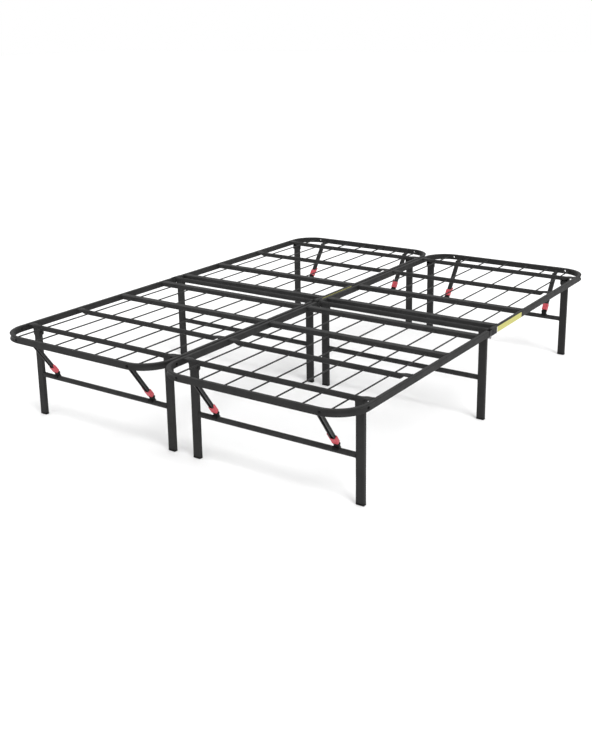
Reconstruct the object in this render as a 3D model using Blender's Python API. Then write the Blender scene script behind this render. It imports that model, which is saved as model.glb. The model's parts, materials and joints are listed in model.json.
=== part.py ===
"""Folding metal bed frame: two side-by-side units, each a near half and a far half on a hinge.

+X is across the bed, +Y runs from the near end to the far end, +Z is up. The origin is on the floor
at the middle of the bed. Each half is a bent rim with a welded deck of tubes and rods. Three leg
frames per unit turn on rivets under a cross tube, and four braces per unit drop from the end rails
onto the cross bars of the end leg frames, where a black foot and a red sliding clip hold them.
"""

import math

import bmesh
import bpy
from mathutils import Matrix, Vector

# Overall size
BED_WIDTH = 1.524
BED_LENGTH = 2.032
BED_HEIGHT = 0.3556
UNIT_GAP = 0.002
TOUCH_GAP = 0.0003
MERGE_DISTANCE = 0.00002
SHARP_ANGLE = 35
AXIS_MARK = 0.03

# Facets of round shapes
ROUND_SIDES = 12
ROD_SIDES = 6
HOLE_SIDES = 10
BAR_SEAT_SIDES = 16
EYE_STEPS = 8
TONGUE_STEPS = 6
SADDLE_STEPS = 10

# Rim: a rectangular tube bent into a U
RIM_WIDTH = 0.015
RIM_HEIGHT = 0.0235
RIM_CORNER_RADIUS = 0.115
RIM_ARC_STEPS = 6
WELD_SINK = 0.002
RIM_HOLE_RADIUS = 0.0055
RIM_HOLE_INSET = 0.107

# Deck tubes and rods
TUBE_RADIUS = 0.0095
FLAT_WIDTH = 0.030
FLAT_HEIGHT = 0.018
ROD_RADIUS = 0.0027
ROD_PITCH = 0.098
ROD_COUNT = 7
ROD_CLEARANCE = 0.0004
NEAR_TUBE_Y = -0.620
NEAR_FLATS_Y = (-0.368, -0.116)
FAR_TUBE_Y = 0.577
FAR_FLATS_Y = (0.277, 0.035)

# Fold hinge
HINGE_Y = -0.047
HINGE_Z = 0.331
NEAR_RAIL_END_Y = -0.055
FAR_RAIL_END_Y = -0.020
HINGE_PLATE = 0.0016
HINGE_PLATE_END_Y = 0.010
HINGE_EYE_RADIUS = 0.0065
HINGE_RIVET_RADIUS = 0.003
HINGE_HEAD = 0.0004
HINGE_EYE_CLEARANCE = 0.0005
TONGUE_WIDTH = 0.006
TONGUE_TOP_DROP = 0.004
TONGUE_ROOT = 0.006
TONGUE_ARC = (0, -150)
TONGUE_NOSE = (0.006, 0.008)
PLATE_NOTCH = 0.002
PLATE_CHAMFER = 0.006
PLATE_SINK = 0.0002

# Legs
LEG_WIDTH = 0.030
LEG_DEPTH = 0.015
LEG_PIVOT_Z = 0.3286
END_LEG_Y = 0.8644
MIDDLE_LEG_Y = -0.025
END_LEG_X = 0.325
MIDDLE_LEG_X = 0.343
CROSS_BAR_Z = 0.162
CROSS_BAR_RADIUS = 0.0095
CROSS_BAR_SINK = 0.001
BRACKET_PLATE = 0.0015
BRACKET_DEPTH = 0.021
BRACKET_LOW_Z = 0.3175
BRACKET_SIDE_GAP = 0.0004
BRACKET_TOP_DROP = 0.001
RIVET_RADIUS = 0.003
RIVET_HOLE_RADIUS = 0.0034
RIVET_HEAD = 0.001
RIVET_HEAD_RADIUS = 0.005
FOOT_HEIGHT = 0.006
FOOT_OVERHANG = 0.0006

# Braces, measured along the brace from its pivot and outward from its middle line
BRACE_X = 0.238
BRACE_PIVOT_Y = 0.9715
BRACE_PIVOT_Z = 0.331
BRACE_LEAN = math.radians(36)
BRACE_WIDTH = 0.018
BRACE_DEPTH = 0.012
BRACE_WALL = 0.002
BRACE_TOP = -0.005
BRACE_END = 0.172
BRACE_RELIEF = 0.022
BRACE_RIVET_HEAD = 0.001
LUG_WIDTH = 0.0136
LUG_EYE_RADIUS = 0.005
LUG_ARC = (110, 290)
LUG_ROOT = 0.004
LUG_ROOT_HEIGHT = 0.012
HOOK_START = 0.160
HOOK_WIDTH = 0.013
HOOK_FLOOR = -0.0036
HOOK_NECK = 0.0055
KNUCKLE_AT = 0.1815
KNUCKLE_RADIUS = 0.006
KNUCKLE_WIDTH = 0.024
SADDLE_WIDTH = 0.020
SADDLE_RADIUS = 0.0135
SADDLE_TOP = 140
SADDLE_FOOT = 275
CLIP_LOW = 0.145
CLIP_HIGH = 0.175
CLIP_WIDTH = 0.024
CLIP_DEPTH = 0.0158
LEVER_TIP = 0.132
LEVER_ROOT = 0.157
LEVER_RISE = 0.0045
LEVER_THICKNESS = 0.0025
LEVER_WIDTH = 0.008
LONG_CUT = 1.0

# Label on the outer face of each unit's right rail
LABEL_START_Y = 0.012
LABEL_LENGTH = 0.232
LABEL_HEIGHT = 0.021
LABEL_THICKNESS = 0.0006
LABEL_GAP = 0.00005

# Worked-out sizes
UNIT_HALF_WIDTH = (BED_WIDTH - UNIT_GAP) / 4
UNIT_CENTRE_X = UNIT_HALF_WIDTH + UNIT_GAP / 2
RAIL_OUTER_X = UNIT_HALF_WIDTH - HINGE_PLATE - HINGE_HEAD
RAIL_INNER_X = RAIL_OUTER_X - RIM_WIDTH
RAIL_MID_X = RAIL_OUTER_X - RIM_WIDTH / 2
RIM_LOW_Z = BED_HEIGHT - RIM_HEIGHT
RIM_MID_Z = BED_HEIGHT - RIM_HEIGHT / 2
END_Y = BED_LENGTH / 2
TUBE_Z = BED_HEIGHT - TUBE_RADIUS
CROSS_REACH = RAIL_INNER_X - TOUCH_GAP
BRACE_RUN = BRACE_PIVOT_Y - END_LEG_Y
BRACE_FALL = BRACE_PIVOT_Z - CROSS_BAR_Z
BAR_AT = BRACE_RUN * math.sin(BRACE_LEAN) + BRACE_FALL * math.cos(BRACE_LEAN)
BAR_OUT = BRACE_FALL * math.sin(BRACE_LEAN) - BRACE_RUN * math.cos(BRACE_LEAN)

STEEL = ("powder_coated_steel", (0.028, 0.028, 0.031, 1.0), 0.45, 0.35)
BLACK_PLASTIC = ("black_plastic", (0.012, 0.012, 0.013, 1.0), 0.5, 0.0)
RED_PLASTIC = ("red_plastic", (0.55, 0.02, 0.03, 1.0), 0.4, 0.0)
YELLOW_PAPER = ("yellow_label", (0.78, 0.70, 0.12, 1.0), 0.6, 0.0)


def clear_scene():
    for item in list(bpy.data.objects):
        bpy.data.objects.remove(item)


def make_collection(name):
    collection = bpy.data.collections.new(name)
    bpy.context.scene.collection.children.link(collection)
    return collection


def make_material(name, finish):
    """One Principled material for one part."""
    _, colour, roughness, metallic = finish
    material = bpy.data.materials.new(name)
    material.use_nodes = True
    shader = material.node_tree.nodes["Principled BSDF"]
    shader.inputs["Base Color"].default_value = colour
    shader.inputs["Roughness"].default_value = roughness
    shader.inputs["Metallic"].default_value = metallic
    material.diffuse_color = colour
    return material


def link_mesh(name, mesh):
    item = bpy.data.objects.new(name, mesh)
    PARTS.objects.link(item)
    return item


def object_from_bmesh(name, shape):
    mesh = bpy.data.meshes.new(name)
    shape.to_mesh(mesh)
    shape.free()
    return link_mesh(name, mesh)


def block(low, high):
    """A box between two corners."""
    low, high = Vector(low), Vector(high)
    shape = bmesh.new()
    bmesh.ops.create_cube(shape, size=1.0)
    bmesh.ops.scale(shape, vec=high - low, verts=shape.verts)
    bmesh.ops.translate(shape, vec=(low + high) / 2, verts=shape.verts)
    return object_from_bmesh("block", shape)


def rod(start, end, radius, sides):
    """A straight round bar between two points, with a flat side facing up."""
    start, end = Vector(start), Vector(end)
    run = end - start
    shape = bmesh.new()
    bmesh.ops.create_cone(
        shape, cap_ends=True, segments=sides, radius1=radius, radius2=radius, depth=run.length
    )
    bmesh.ops.rotate(shape, matrix=Matrix.Rotation(math.pi / sides, 3, "Z"), verts=shape.verts)
    bmesh.ops.rotate(shape, matrix=run.to_track_quat("Z", "Y").to_matrix(), verts=shape.verts)
    bmesh.ops.translate(shape, vec=(start + end) / 2, verts=shape.verts)
    return object_from_bmesh("rod", shape)


def flat_shape(outline, thickness, place):
    """An outline in its own plane, thickened both ways, put in the world by a matrix."""
    curve = bpy.data.curves.new("outline", "CURVE")
    curve.dimensions = "2D"
    curve.fill_mode = "BOTH"
    curve.extrude = thickness / 2
    spline = curve.splines.new("POLY")
    spline.points.add(len(outline) - 1)
    for point, (across, along) in zip(spline.points, outline):
        point.co = (across, along, 0.0, 1.0)
    spline.use_cyclic_u = True
    guide = bpy.data.objects.new("outline", curve)
    PARTS.objects.link(guide)
    guide.matrix_world = place
    bpy.context.view_layer.update()
    mesh = bpy.data.meshes.new_from_object(guide.evaluated_get(bpy.context.evaluated_depsgraph_get()))
    mesh.transform(place)
    bpy.data.objects.remove(guide)
    shape = bmesh.new()
    shape.from_mesh(mesh)
    bmesh.ops.remove_doubles(shape, verts=shape.verts, dist=MERGE_DISTANCE)
    bmesh.ops.recalc_face_normals(shape, faces=shape.faces)
    bpy.data.meshes.remove(mesh)
    return object_from_bmesh("flat", shape)


def arc(centre, radius, start, end, steps):
    """Points on an arc, angles in degrees."""
    points = []
    for step in range(steps + 1):
        angle = math.radians(start + (end - start) * step / steps)
        points.append((centre[0] + radius * math.cos(angle), centre[1] + radius * math.sin(angle)))
    return points


def side_plane(x_middle):
    """Local x is world Y, local y is world Z, at a given X."""
    return Matrix(((0, 0, 1, x_middle), (1, 0, 0, 0), (0, 1, 0, 0), (0, 0, 0, 1)))


def fuse(name, pieces, cuts, finish):
    """Weld pieces into one body, cut it, and give it a name and a material."""
    base = pieces[0]
    steps = [(piece, "UNION") for piece in pieces[1:]] + [(cut, "DIFFERENCE") for cut in cuts]
    for other, operation in steps:
        step = base.modifiers.new(operation.lower(), "BOOLEAN")
        step.solver = "EXACT"
        step.operation = operation
        step.object = other
    bpy.context.view_layer.update()
    mesh = bpy.data.meshes.new_from_object(base.evaluated_get(bpy.context.evaluated_depsgraph_get()))
    for item in pieces + list(cuts):
        bpy.data.objects.remove(item)
    mesh.name = name
    mesh.materials.clear()
    mesh.materials.append(make_material(name, finish))
    mesh.shade_smooth()
    mesh.set_sharp_from_angle(angle=math.radians(SHARP_ANGLE))
    return link_mesh(name, mesh)


def axis_empty(name, place, parent=None):
    """An empty on a joint's axis, which the moving pieces hang from."""
    empty = bpy.data.objects.new(name, None)
    empty.empty_display_size = AXIS_MARK
    PARTS.objects.link(empty)
    empty.location = Vector(place)
    if parent is not None:
        empty.parent = parent
        empty.location = Vector(place) - world_place(parent)
    return empty


def world_place(item):
    place = Vector(item.location)
    if item.parent is not None:
        place += world_place(item.parent)
    return place


def hang(item, empty):
    """Put the piece's origin on the empty and parent it there."""
    item.data.transform(Matrix.Translation(-world_place(empty)))
    item.parent = empty
    return item


def rim_outline(end, rail_end_y):
    """U outline in plan; end is -1 for the near half and +1 for the far half."""
    outer_radius = RIM_CORNER_RADIUS
    inner_radius = RIM_CORNER_RADIUS - RIM_WIDTH
    bend_x = RAIL_OUTER_X - outer_radius
    bend_y = END_Y - outer_radius
    quarter = arc((bend_x, bend_y), outer_radius, 0, 90, RIM_ARC_STEPS)
    inner = arc((bend_x, bend_y), inner_radius, 0, 90, RIM_ARC_STEPS)
    tail = end * rail_end_y
    outer_half = [(RAIL_OUTER_X, tail)] + quarter
    inner_half = [(RAIL_INNER_X, tail)] + inner
    outline = outer_half + [(-x, y) for x, y in reversed(outer_half)]
    outline += [(-x, y) for x, y in inner_half] + list(reversed(inner_half))
    return [(x, end * y) for x, y in outline]


def rim_holes(unit_x, end):
    """Bolt holes through the end rail and the side rails, just past the bends."""
    cuts = []
    hole_y = end * (END_Y - RIM_HOLE_INSET)
    for side in (-1, 1):
        hole_x = unit_x + side * (UNIT_HALF_WIDTH - RIM_HOLE_INSET)
        through_end = ((hole_x, end * (END_Y - 2 * RIM_WIDTH), RIM_MID_Z),
                       (hole_x, end * (END_Y + RIM_WIDTH), RIM_MID_Z))
        rail_x = unit_x + side * RAIL_MID_X
        through_side = ((rail_x - RIM_WIDTH, hole_y, RIM_MID_Z), (rail_x + RIM_WIDTH, hole_y, RIM_MID_Z))
        cuts.append(rod(*through_end, RIM_HOLE_RADIUS, HOLE_SIDES))
        cuts.append(rod(*through_side, RIM_HOLE_RADIUS, HOLE_SIDES))
    return cuts


def brace_lugs(unit_x, end):
    """Tongues under the end rail that the brace channels straddle, with their rivets."""
    pieces = []
    root_y = END_Y - RIM_WIDTH + LUG_ROOT
    root_z = RIM_LOW_Z + WELD_SINK
    for side in (-1, 1):
        x = unit_x + side * BRACE_X
        outline = arc((BRACE_PIVOT_Y, BRACE_PIVOT_Z), LUG_EYE_RADIUS, *LUG_ARC, EYE_STEPS)
        outline += [(root_y, root_z), (root_y, root_z + LUG_ROOT_HEIGHT)]
        lug = [(end * y, z) for y, z in outline]
        pieces.append(flat_shape(lug, LUG_WIDTH - 2 * BRACKET_SIDE_GAP, side_plane(x)))
    return pieces


def near_rim(name, unit_x):
    flat = Matrix.Translation((unit_x, 0, RIM_MID_Z))
    pieces = [flat_shape(rim_outline(-1, NEAR_RAIL_END_Y), RIM_HEIGHT, flat)]
    pieces += brace_lugs(unit_x, -1)
    root_y = NEAR_RAIL_END_Y - TONGUE_ROOT
    top = BED_HEIGHT - TONGUE_TOP_DROP
    tongue = arc((HINGE_Y, HINGE_Z), HINGE_EYE_RADIUS - HINGE_EYE_CLEARANCE, *TONGUE_ARC, TONGUE_STEPS)
    tongue += [(root_y, RIM_LOW_Z + WELD_SINK), (root_y, top), (HINGE_Y, top)]
    tongue += [(HINGE_Y + TONGUE_NOSE[0], HINGE_Z + TONGUE_NOSE[1])]
    for side in (-1, 1):
        middle = unit_x + side * RAIL_MID_X
        pieces.append(flat_shape(tongue, TONGUE_WIDTH, side_plane(middle)))
        reach = RIM_WIDTH / 2 + HINGE_PLATE + HINGE_HEAD
        ends = ((middle - reach, HINGE_Y, HINGE_Z), (middle + reach, HINGE_Y, HINGE_Z))
        pieces.append(rod(*ends, HINGE_RIVET_RADIUS, ROUND_SIDES))
    return fuse(name, pieces, rim_holes(unit_x, -1), STEEL)


def far_rim(name, unit_x):
    flat = Matrix.Translation((unit_x, 0, RIM_MID_Z))
    pieces = [flat_shape(rim_outline(1, FAR_RAIL_END_Y), RIM_HEIGHT, flat)]
    pieces += brace_lugs(unit_x, 1)
    plate = arc((HINGE_Y, HINGE_Z), HINGE_EYE_RADIUS, 180, 360, EYE_STEPS)
    plate += [(HINGE_Y + HINGE_EYE_RADIUS + PLATE_NOTCH, RIM_LOW_Z), (HINGE_PLATE_END_Y, RIM_LOW_Z)]
    plate += [(HINGE_PLATE_END_Y, BED_HEIGHT), (HINGE_Y + PLATE_NOTCH, BED_HEIGHT)]
    plate += [(HINGE_Y - HINGE_EYE_RADIUS, BED_HEIGHT - PLATE_CHAMFER)]
    cuts = rim_holes(unit_x, 1)
    bore_reach = RIM_WIDTH
    for side in (-1, 1):
        for face in (-1, 1):
            offset = face * (RIM_WIDTH + HINGE_PLATE - PLATE_SINK) / 2
            middle = unit_x + side * RAIL_MID_X + offset
            pieces.append(flat_shape(plate, HINGE_PLATE + PLATE_SINK, side_plane(middle)))
        rail_x = unit_x + side * RAIL_MID_X
        ends = ((rail_x - bore_reach, HINGE_Y, HINGE_Z), (rail_x + bore_reach, HINGE_Y, HINGE_Z))
        cuts.append(rod(*ends, HINGE_RIVET_RADIUS + ROD_CLEARANCE, ROUND_SIDES))
    return fuse(name, pieces, cuts, STEEL)


def rod_ends(unit_x, index, start_y, end_y):
    x = unit_x + (index - (ROD_COUNT - 1) / 2) * ROD_PITCH
    return (x, start_y, TUBE_Z), (x, end_y, TUBE_Z)


def rim_inner_y(index):
    """How far along Y the rim's inner face is, at a rod's place across the unit."""
    reach = abs(index - (ROD_COUNT - 1) / 2) * ROD_PITCH + ROD_RADIUS
    into_bend = max(0, reach - (RAIL_OUTER_X - RIM_CORNER_RADIUS))
    inner_radius = RIM_CORNER_RADIUS - RIM_WIDTH
    facet = inner_radius * math.cos(math.radians(90 / RIM_ARC_STEPS / 2))
    bend_y = END_Y - RIM_CORNER_RADIUS
    if into_bend == 0:
        return END_Y - RIM_WIDTH - TOUCH_GAP
    return bend_y + math.sqrt(facet ** 2 - into_bend ** 2) - TOUCH_GAP


def deck(name, unit_x, tube_y, flats_y, end):
    """One round tube, two flat tubes and seven long rods, welded where they cross."""
    pieces = []
    for y in flats_y:
        low = (unit_x - CROSS_REACH, y - FLAT_WIDTH / 2, BED_HEIGHT - FLAT_HEIGHT)
        high = (unit_x + CROSS_REACH, y + FLAT_WIDTH / 2, BED_HEIGHT)
        pieces.append(block(low, high))
    tube = ((unit_x - CROSS_REACH, tube_y, TUBE_Z), (unit_x + CROSS_REACH, tube_y, TUBE_Z))
    pieces.append(rod(*tube, TUBE_RADIUS, ROUND_SIDES))
    for index in range(ROD_COUNT):
        ends = rod_ends(unit_x, index, flats_y[-1], end * rim_inner_y(index))
        pieces.append(rod(*ends, ROD_RADIUS, ROD_SIDES))
    return fuse(name, pieces, [], STEEL)


def pivot_tube(name, unit_x, y, leg_x, fold, with_rods):
    """A cross tube with two welded leg brackets; fold is the way the feet swing, in Y."""
    reach = CROSS_REACH if with_rods else CROSS_REACH - HINGE_PLATE
    pieces = [rod((unit_x - reach, y, TUBE_Z), (unit_x + reach, y, TUBE_Z), TUBE_RADIUS, ROUND_SIDES)]
    cuts = []
    inner = LEG_WIDTH / 2 + BRACKET_SIDE_GAP
    outer = inner + BRACKET_PLATE
    web_inner = -fold * (LEG_DEPTH / 2 + BRACKET_SIDE_GAP)
    web_outer = web_inner - fold * BRACKET_PLATE
    tip = web_outer + fold * BRACKET_DEPTH
    near_y, far_y = sorted((y + web_outer, y + tip))
    for side in (-1, 1):
        x = unit_x + side * leg_x
        top = TUBE_Z - BRACKET_TOP_DROP
        pieces.append(block((x - outer, near_y, BRACKET_LOW_Z), (x - inner, far_y, top)))
        pieces.append(block((x + inner, near_y, BRACKET_LOW_Z), (x + outer, far_y, top)))
        web_low, web_high = sorted((y + web_outer, y + web_inner))
        pieces.append(block((x - outer, web_low, BRACKET_LOW_Z), (x + outer, web_high, top)))
        hole = ((x - 2 * outer, y, LEG_PIVOT_Z), (x + 2 * outer, y, LEG_PIVOT_Z))
        cuts.append(rod(*hole, RIVET_HOLE_RADIUS, ROUND_SIDES))
    if with_rods:
        for index in range(ROD_COUNT):
            ends = rod_ends(unit_x, index, y - 2 * TUBE_RADIUS, y + 2 * TUBE_RADIUS)
            cuts.append(rod(*ends, ROD_RADIUS + ROD_CLEARANCE, ROD_SIDES))
    return fuse(name, pieces, cuts, STEEL)


def leg_frame(name, unit_x, y, leg_x):
    """Two legs with round tops, a cross bar and the two rivets they turn on."""
    pieces = []
    low = FOOT_HEIGHT + TOUCH_GAP
    top = arc((y, LEG_PIVOT_Z), LEG_DEPTH / 2, 0, 180, EYE_STEPS)
    outline = [(y + LEG_DEPTH / 2, low)] + top + [(y - LEG_DEPTH / 2, low)]
    inner = LEG_WIDTH / 2 + BRACKET_SIDE_GAP + BRACKET_PLATE + TOUCH_GAP
    for side in (-1, 1):
        x = unit_x + side * leg_x
        pieces.append(flat_shape(outline, LEG_WIDTH, side_plane(x)))
    reach = leg_x - LEG_WIDTH / 2 + CROSS_BAR_SINK
    bar = ((unit_x - reach, y, CROSS_BAR_Z), (unit_x + reach, y, CROSS_BAR_Z))
    pieces.append(rod(*bar, CROSS_BAR_RADIUS, ROUND_SIDES))
    for side in (-1, 1):
        x = unit_x + side * leg_x
        tip = inner + RIVET_HEAD
        pieces.append(rod((x - tip, y, LEG_PIVOT_Z), (x + tip, y, LEG_PIVOT_Z), RIVET_RADIUS, ROUND_SIDES))
        for face in (-1, 1):
            ends = ((x + face * inner, y, LEG_PIVOT_Z), (x + face * tip, y, LEG_PIVOT_Z))
            pieces.append(rod(*ends, RIVET_HEAD_RADIUS, ROUND_SIDES))
    return fuse(name, pieces, [], STEEL)


def foot(name, x, y):
    half_x = LEG_WIDTH / 2 + FOOT_OVERHANG
    half_y = LEG_DEPTH / 2 + FOOT_OVERHANG
    cap = block((x - half_x, y - half_y, 0), (x + half_x, y + half_y, FOOT_HEIGHT))
    return fuse(name, [cap], [], BLACK_PLASTIC)


def brace_place(x, end):
    """Brace frame: local x runs down the brace, local y faces out and down, local z is along X."""
    along = Vector((0, -end * math.sin(BRACE_LEAN), -math.cos(BRACE_LEAN)))
    out = Vector((0, end * math.cos(BRACE_LEAN), -math.sin(BRACE_LEAN)))
    across = along.cross(out)
    place = Matrix((along, out, across)).transposed().to_4x4()
    place.translation = (x, end * BRACE_PIVOT_Y, BRACE_PIVOT_Z)
    return place


def placed_block(low, high, place):
    item = block(low, high)
    item.data.transform(place)
    return item


def brace(name, x, end):
    """A pressed channel that opens outward and straddles its tongue."""
    place = brace_place(x, end)
    half, deep = BRACE_WIDTH / 2, BRACE_DEPTH / 2
    inside = half - BRACE_WALL
    channel = placed_block((BRACE_TOP, -deep, -half), (BRACE_END, deep, half), place)
    hollow = placed_block((-LONG_CUT, BRACE_WALL - deep, -inside), (LONG_CUT, LONG_CUT, inside), place)
    relief = placed_block((-LONG_CUT, -LONG_CUT, -inside), (BRACE_RELIEF, LONG_CUT, inside), place)
    reach = half + BRACE_RIVET_HEAD
    pivot_y = end * BRACE_PIVOT_Y
    ends = ((x - reach, pivot_y, BRACE_PIVOT_Z), (x + reach, pivot_y, BRACE_PIVOT_Z))
    eye = rod(*ends, RIVET_HOLE_RADIUS, ROUND_SIDES)
    return fuse(name, [channel], [hollow, relief, eye], STEEL)


def hook(name, x, end):
    """A plastic foot: a neck in the channel, a knuckle below it and a snap saddle on the cross bar."""
    place = brace_place(x, end)
    half = HOOK_WIDTH / 2
    pieces = [placed_block((HOOK_START, HOOK_FLOOR, -half), (KNUCKLE_AT, HOOK_NECK, half), place)]
    ends = [place @ Vector((KNUCKLE_AT, 0, side * KNUCKLE_WIDTH / 2)) for side in (-1, 1)]
    pieces.append(rod(*ends, KNUCKLE_RADIUS, ROUND_SIDES))
    half = SADDLE_WIDTH / 2
    pieces.append(placed_block((KNUCKLE_AT, HOOK_FLOOR, -half), (BAR_AT, BAR_OUT, half), place))
    rim = arc((BAR_AT, BAR_OUT), SADDLE_RADIUS, SADDLE_TOP, SADDLE_FOOT, SADDLE_STEPS)
    pieces.append(flat_shape(rim, SADDLE_WIDTH, place))
    bar_y = end * END_LEG_Y
    ends = ((x - KNUCKLE_WIDTH, bar_y, CROSS_BAR_Z), (x + KNUCKLE_WIDTH, bar_y, CROSS_BAR_Z))
    bar = rod(*ends, CROSS_BAR_RADIUS + 2 * TOUCH_GAP, BAR_SEAT_SIDES)
    return fuse(name, pieces, [bar], BLACK_PLASTIC)


def clip(name, x, end, inward):
    """A plastic sleeve round the channel, with a thumb lever on the side of the unit's middle."""
    place = brace_place(x, end)
    half, deep = CLIP_WIDTH / 2, CLIP_DEPTH / 2
    sleeve = placed_block((CLIP_LOW, -deep, -half), (CLIP_HIGH, deep, half), place)
    root = half - TOUCH_GAP
    outline = [(LEVER_ROOT, root), (CLIP_LOW, root), (LEVER_TIP, half + LEVER_RISE - LEVER_THICKNESS)]
    outline += [(LEVER_TIP, half + LEVER_RISE), (CLIP_LOW, half + LEVER_THICKNESS)]
    turn = inward * math.copysign(1, place.col[2].x)
    side_up = Matrix(((1, 0, 0, 0), (0, 0, -turn, 0), (0, turn, 0, 0), (0, 0, 0, 1)))
    lever = flat_shape(outline, LEVER_WIDTH, place @ side_up)
    inner_half, inner_deep = BRACE_WIDTH / 2 + TOUCH_GAP, BRACE_DEPTH / 2 + TOUCH_GAP
    bore = placed_block((-LONG_CUT, -inner_deep, -inner_half), (LONG_CUT, inner_deep, inner_half), place)
    return fuse(name, [sleeve, lever], [bore], RED_PLASTIC)


def label(name, unit_x):
    face = unit_x + RAIL_OUTER_X + LABEL_GAP
    low = (face, LABEL_START_Y, RIM_MID_Z - LABEL_HEIGHT / 2)
    high = (face + LABEL_THICKNESS, LABEL_START_Y + LABEL_LENGTH, RIM_MID_Z + LABEL_HEIGHT / 2)
    return fuse(name, [block(low, high)], [], YELLOW_PAPER)


def build_legs(prefix, unit_x, y, leg_x, parent):
    axis = axis_empty(prefix + "_legs_axis", (unit_x, y, LEG_PIVOT_Z), parent)
    hang(leg_frame(prefix + "_legs", unit_x, y, leg_x), axis)
    for word, side in (("left", -1), ("right", 1)):
        hang(foot(prefix + "_foot_" + word, unit_x + side * leg_x, y), axis)


def build_braces(prefix, unit_x, end, parent):
    for word, side in (("left", -1), ("right", 1)):
        x = unit_x + side * BRACE_X
        stem = prefix + "_" + word
        axis = axis_empty(stem + "_brace_axis", (x, end * BRACE_PIVOT_Y, BRACE_PIVOT_Z), parent)
        hang(brace(stem + "_brace", x, end), axis)
        hang(hook(stem + "_hook", x, end), axis)
        hang(clip(stem + "_clip", x, end, -side), axis)


def build_unit(unit, side):
    unit_x = side * UNIT_CENTRE_X
    near, far, middle = unit + "_near", unit + "_far", unit + "_middle"
    near_rim(near + "_rim", unit_x)
    deck(near + "_deck", unit_x, NEAR_TUBE_Y, NEAR_FLATS_Y, -1)
    pivot_tube(near + "_pivot_tube", unit_x, -END_LEG_Y, END_LEG_X, 1, True)
    build_legs(near, unit_x, -END_LEG_Y, END_LEG_X, None)
    build_braces(near, unit_x, -1, None)
    fold = axis_empty(unit + "_fold_axis", (unit_x, HINGE_Y, HINGE_Z))
    hang(far_rim(far + "_rim", unit_x), fold)
    hang(deck(far + "_deck", unit_x, FAR_TUBE_Y, FAR_FLATS_Y, 1), fold)
    hang(pivot_tube(far + "_pivot_tube", unit_x, END_LEG_Y, END_LEG_X, -1, True), fold)
    hang(pivot_tube(middle + "_pivot_tube", unit_x, MIDDLE_LEG_Y, MIDDLE_LEG_X, 1, False), fold)
    hang(label(unit + "_label", unit_x), fold)
    build_legs(middle, unit_x, MIDDLE_LEG_Y, MIDDLE_LEG_X, fold)
    build_legs(far, unit_x, END_LEG_Y, END_LEG_X, fold)
    build_braces(far, unit_x, 1, fold)


clear_scene()
PARTS = make_collection("folding_bed_frame")
build_unit("left", -1)
build_unit("right", 1)
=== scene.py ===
"""Looks for the folding metal bed frame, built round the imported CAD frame.

Each CAD node is replaced by the real object's pieces: bent and crushed rim tubes, cross tubes with
pressed ends, rods, folded brackets, legs, rivets, weld beads, channel braces and moulded plastic.
Pieces are modelled once in a local frame and placed in both units, so the meshes are shared.
"""
import json
import math
import random

import bmesh
import bpy
from mathutils import Matrix, Vector

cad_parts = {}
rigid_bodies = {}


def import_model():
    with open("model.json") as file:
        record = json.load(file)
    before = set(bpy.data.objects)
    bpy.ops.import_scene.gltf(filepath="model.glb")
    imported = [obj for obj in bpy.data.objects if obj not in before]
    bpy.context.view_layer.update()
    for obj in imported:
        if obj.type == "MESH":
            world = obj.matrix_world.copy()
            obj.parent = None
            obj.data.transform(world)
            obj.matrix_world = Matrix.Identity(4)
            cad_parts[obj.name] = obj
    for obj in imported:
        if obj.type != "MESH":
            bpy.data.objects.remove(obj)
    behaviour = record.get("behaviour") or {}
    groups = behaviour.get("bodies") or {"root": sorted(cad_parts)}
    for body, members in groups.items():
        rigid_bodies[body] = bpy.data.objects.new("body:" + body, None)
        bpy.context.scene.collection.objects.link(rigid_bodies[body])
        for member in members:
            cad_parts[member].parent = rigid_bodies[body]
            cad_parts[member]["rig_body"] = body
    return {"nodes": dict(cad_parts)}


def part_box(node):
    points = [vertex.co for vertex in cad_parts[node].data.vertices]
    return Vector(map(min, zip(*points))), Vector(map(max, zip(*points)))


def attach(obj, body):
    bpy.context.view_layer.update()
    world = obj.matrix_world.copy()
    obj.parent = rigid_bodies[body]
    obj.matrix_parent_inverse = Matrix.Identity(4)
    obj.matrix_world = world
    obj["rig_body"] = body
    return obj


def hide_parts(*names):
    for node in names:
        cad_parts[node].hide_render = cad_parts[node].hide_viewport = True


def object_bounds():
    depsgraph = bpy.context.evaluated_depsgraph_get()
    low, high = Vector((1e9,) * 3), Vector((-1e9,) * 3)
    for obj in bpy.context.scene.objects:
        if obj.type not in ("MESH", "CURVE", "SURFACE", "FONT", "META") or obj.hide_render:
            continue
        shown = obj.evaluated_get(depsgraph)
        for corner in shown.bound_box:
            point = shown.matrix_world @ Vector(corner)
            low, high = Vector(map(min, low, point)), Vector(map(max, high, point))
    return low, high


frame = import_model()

CAD_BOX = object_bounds()
random.seed(11)

# Places that the frame gives
BED_HEIGHT = CAD_BOX[1].z
END_Y = CAD_BOX[1].y
UNIT_HALF_WIDTH = (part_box("left_near_rim")[1].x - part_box("left_near_rim")[0].x) / 2
CROSS_REACH = (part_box("left_near_deck")[1].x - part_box("left_near_deck")[0].x) / 2
MIDDLE_REACH = (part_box("left_middle_pivot_tube")[1].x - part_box("left_middle_pivot_tube")[0].x) / 2
FOOT_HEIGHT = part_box("left_near_foot_left")[1].z

# Bevels of thin and thick pressed parts
SHEET_EDGE = 0.0003
FORGED_EDGE = 0.0008

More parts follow.
